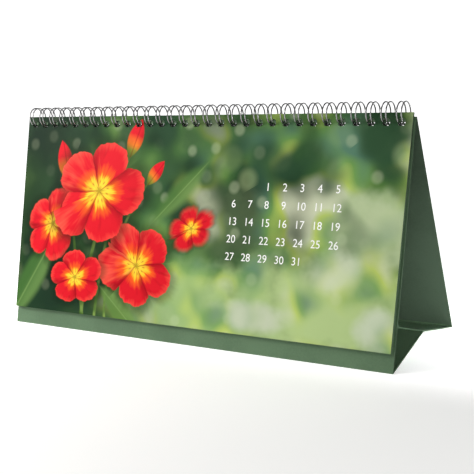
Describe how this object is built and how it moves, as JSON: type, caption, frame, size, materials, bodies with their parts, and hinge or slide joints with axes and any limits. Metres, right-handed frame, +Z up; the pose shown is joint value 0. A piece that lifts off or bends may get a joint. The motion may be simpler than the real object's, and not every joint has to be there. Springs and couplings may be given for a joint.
{
  "type": "desk calendar",
  "caption": "Wire-bound easel desk calendar: a creased board stands as a folding tent, and a picture cover and loose leaves turn over a twin-loop wire.",
  "frame": {"origin": "on the desk under the wire, midway between the front foot and the rear foot", "axes": "+X along the wire to the right, -Y to the front where the cover faces, +Z up"},
  "size_m": [0.268, 0.0778, 0.1318],
  "materials": {
    "board": "satin",
    "wire": "gloss",
    "cover_print": "gloss",
    "leaf_paper": "satin"
  },
  "bodies": {
    "front": {"front_board": "board", "binding_wire": "wire"},
    "back": {"back_board": "board"},
    "base_front": {"base_front_flap": "board"},
    "base_rear": {"base_rear_flap": "board"},
    "cover": {"cover": "cover_print"},
    "leaf_01": {"leaf_01": "leaf_paper"},
    "leaf_02": {"leaf_02": "leaf_paper"},
    "leaf_03": {"leaf_03": "leaf_paper"},
    "leaf_04": {"leaf_04": "leaf_paper"},
    "leaf_05": {"leaf_05": "leaf_paper"},
    "leaf_06": {"leaf_06": "leaf_paper"},
    "leaf_07": {"leaf_07": "leaf_paper"},
    "leaf_08": {"leaf_08": "leaf_paper"},
    "leaf_09": {"leaf_09": "leaf_paper"},
    "leaf_10": {"leaf_10": "leaf_paper"},
    "leaf_11": {"leaf_11": "leaf_paper"},
    "leaf_12": {"leaf_12": "leaf_paper"},
    "leaf_13": {"leaf_13": "leaf_paper"},
    "leaf_14": {"leaf_14": "leaf_paper"}
  },
  "joints": [
    {"name": "easel_fold", "type": "hinge", "parent": "front", "child": "back", "pos_m": [0, 0, 0.12362], "axis": [-1, 0, 0], "range_deg": [0, 16.6]},
    {"name": "front_crease_fold", "type": "hinge", "parent": "front", "child": "base_front", "pos_m": [0, -0.0387, 0.0002], "axis": [1, 0, 0], "range_deg": [0, 31.96]},
    {"name": "ridge_fold", "type": "hinge", "parent": "base_front", "child": "base_rear", "pos_m": [0, 0, 0.0104], "axis": [-1, 0, 0], "range_deg": [0, 93.88]},
    {"name": "cover_turn", "type": "hinge", "parent": "front", "child": "cover", "pos_m": [0, 0, 0.12669], "axis": [-1, 0, 0], "range_deg": [0, 309]},
    {"name": "leaf_01_turn", "type": "hinge", "parent": "front", "child": "leaf_01", "pos_m": [0, 0, 0.12669], "axis": [-1, 0, 0], "range_deg": [0, 308.39]},
    {"name": "leaf_02_turn", "type": "hinge", "parent": "front", "child": "leaf_02", "pos_m": [0, 0, 0.12669], "axis": [-1, 0, 0], "range_deg": [0, 307.77]},
    {"name": "leaf_03_turn", "type": "hinge", "parent": "front", "child": "leaf_03", "pos_m": [0, 0, 0.12669], "axis": [-1, 0, 0], "range_deg": [0, 307.16]},
    {"name": "leaf_04_turn", "type": "hinge", "parent": "front", "child": "leaf_04", "pos_m": [0, 0, 0.12669], "axis": [-1, 0, 0], "range_deg": [0, 306.54]},
    {"name": "leaf_05_turn", "type": "hinge", "parent": "front", "child": "leaf_05", "pos_m": [0, 0, 0.12669], "axis": [-1, 0, 0], "range_deg": [0, 305.92]},
    {"name": "leaf_06_turn", "type": "hinge", "parent": "front", "child": "leaf_06", "pos_m": [0, 0, 0.12669], "axis": [-1, 0, 0], "range_deg": [0, 305.3]},
    {"name": "leaf_07_turn", "type": "hinge", "parent": "front", "child": "leaf_07", "pos_m": [0, 0, 0.12669], "axis": [-1, 0, 0], "range_deg": [0, 304.68]},
    {"name": "leaf_08_turn", "type": "hinge", "parent": "front", "child": "leaf_08", "pos_m": [0, 0, 0.12669], "axis": [-1, 0, 0], "range_deg": [0, 304.07]},
    {"name": "leaf_09_turn", "type": "hinge", "parent": "front", "child": "leaf_09", "pos_m": [0, 0, 0.12669], "axis": [-1, 0, 0], "range_deg": [0, 303.45]},
    {"name": "leaf_10_turn", "type": "hinge", "parent": "front", "child": "leaf_10", "pos_m": [0, 0, 0.12669], "axis": [-1, 0, 0], "range_deg": [0, 302.83]},
    {"name": "leaf_11_turn", "type": "hinge", "parent": "front", "child": "leaf_11", "pos_m": [0, 0, 0.12669], "axis": [-1, 0, 0], "range_deg": [0, 302.21]},
    {"name": "leaf_12_turn", "type": "hinge", "parent": "front", "child": "leaf_12", "pos_m": [0, 0, 0.12669], "axis": [-1, 0, 0], "range_deg": [0, 301.59]},
    {"name": "leaf_13_turn", "type": "hinge", "parent": "front", "child": "leaf_13", "pos_m": [0, 0, 0.12669], "axis": [-1, 0, 0], "range_deg": [0, 300.98]},
    {"name": "leaf_14_turn", "type": "hinge", "parent": "front", "child": "leaf_14", "pos_m": [0, 0, 0.12669], "axis": [-1, 0, 0], "range_deg": [0, 300.36]}
  ],
  "couplings": [
    {"joint": "front_crease_fold", "follows": "easel_fold", "ratio": 1.9249},
    {"joint": "ridge_fold", "follows": "easel_fold", "ratio": 5.6548},
    {"joint": "leaf_01_turn", "follows": "cover_turn", "ratio": 0.998},
    {"joint": "leaf_02_turn", "follows": "cover_turn", "ratio": 0.996},
    {"joint": "leaf_03_turn", "follows": "cover_turn", "ratio": 0.994},
    {"joint": "leaf_04_turn", "follows": "cover_turn", "ratio": 0.992},
    {"joint": "leaf_05_turn", "follows": "cover_turn", "ratio": 0.99},
    {"joint": "leaf_06_turn", "follows": "cover_turn", "ratio": 0.988},
    {"joint": "leaf_07_turn", "follows": "cover_turn", "ratio": 0.986},
    {"joint": "leaf_08_turn", "follows": "cover_turn", "ratio": 0.984},
    {"joint": "leaf_09_turn", "follows": "cover_turn", "ratio": 0.982},
    {"joint": "leaf_10_turn", "follows": "cover_turn", "ratio": 0.98},
    {"joint": "leaf_11_turn", "follows": "cover_turn", "ratio": 0.978},
    {"joint": "leaf_12_turn", "follows": "cover_turn", "ratio": 0.976},
    {"joint": "leaf_13_turn", "follows": "cover_turn", "ratio": 0.974},
    {"joint": "leaf_14_turn", "follows": "cover_turn", "ratio": 0.972}
  ]
}
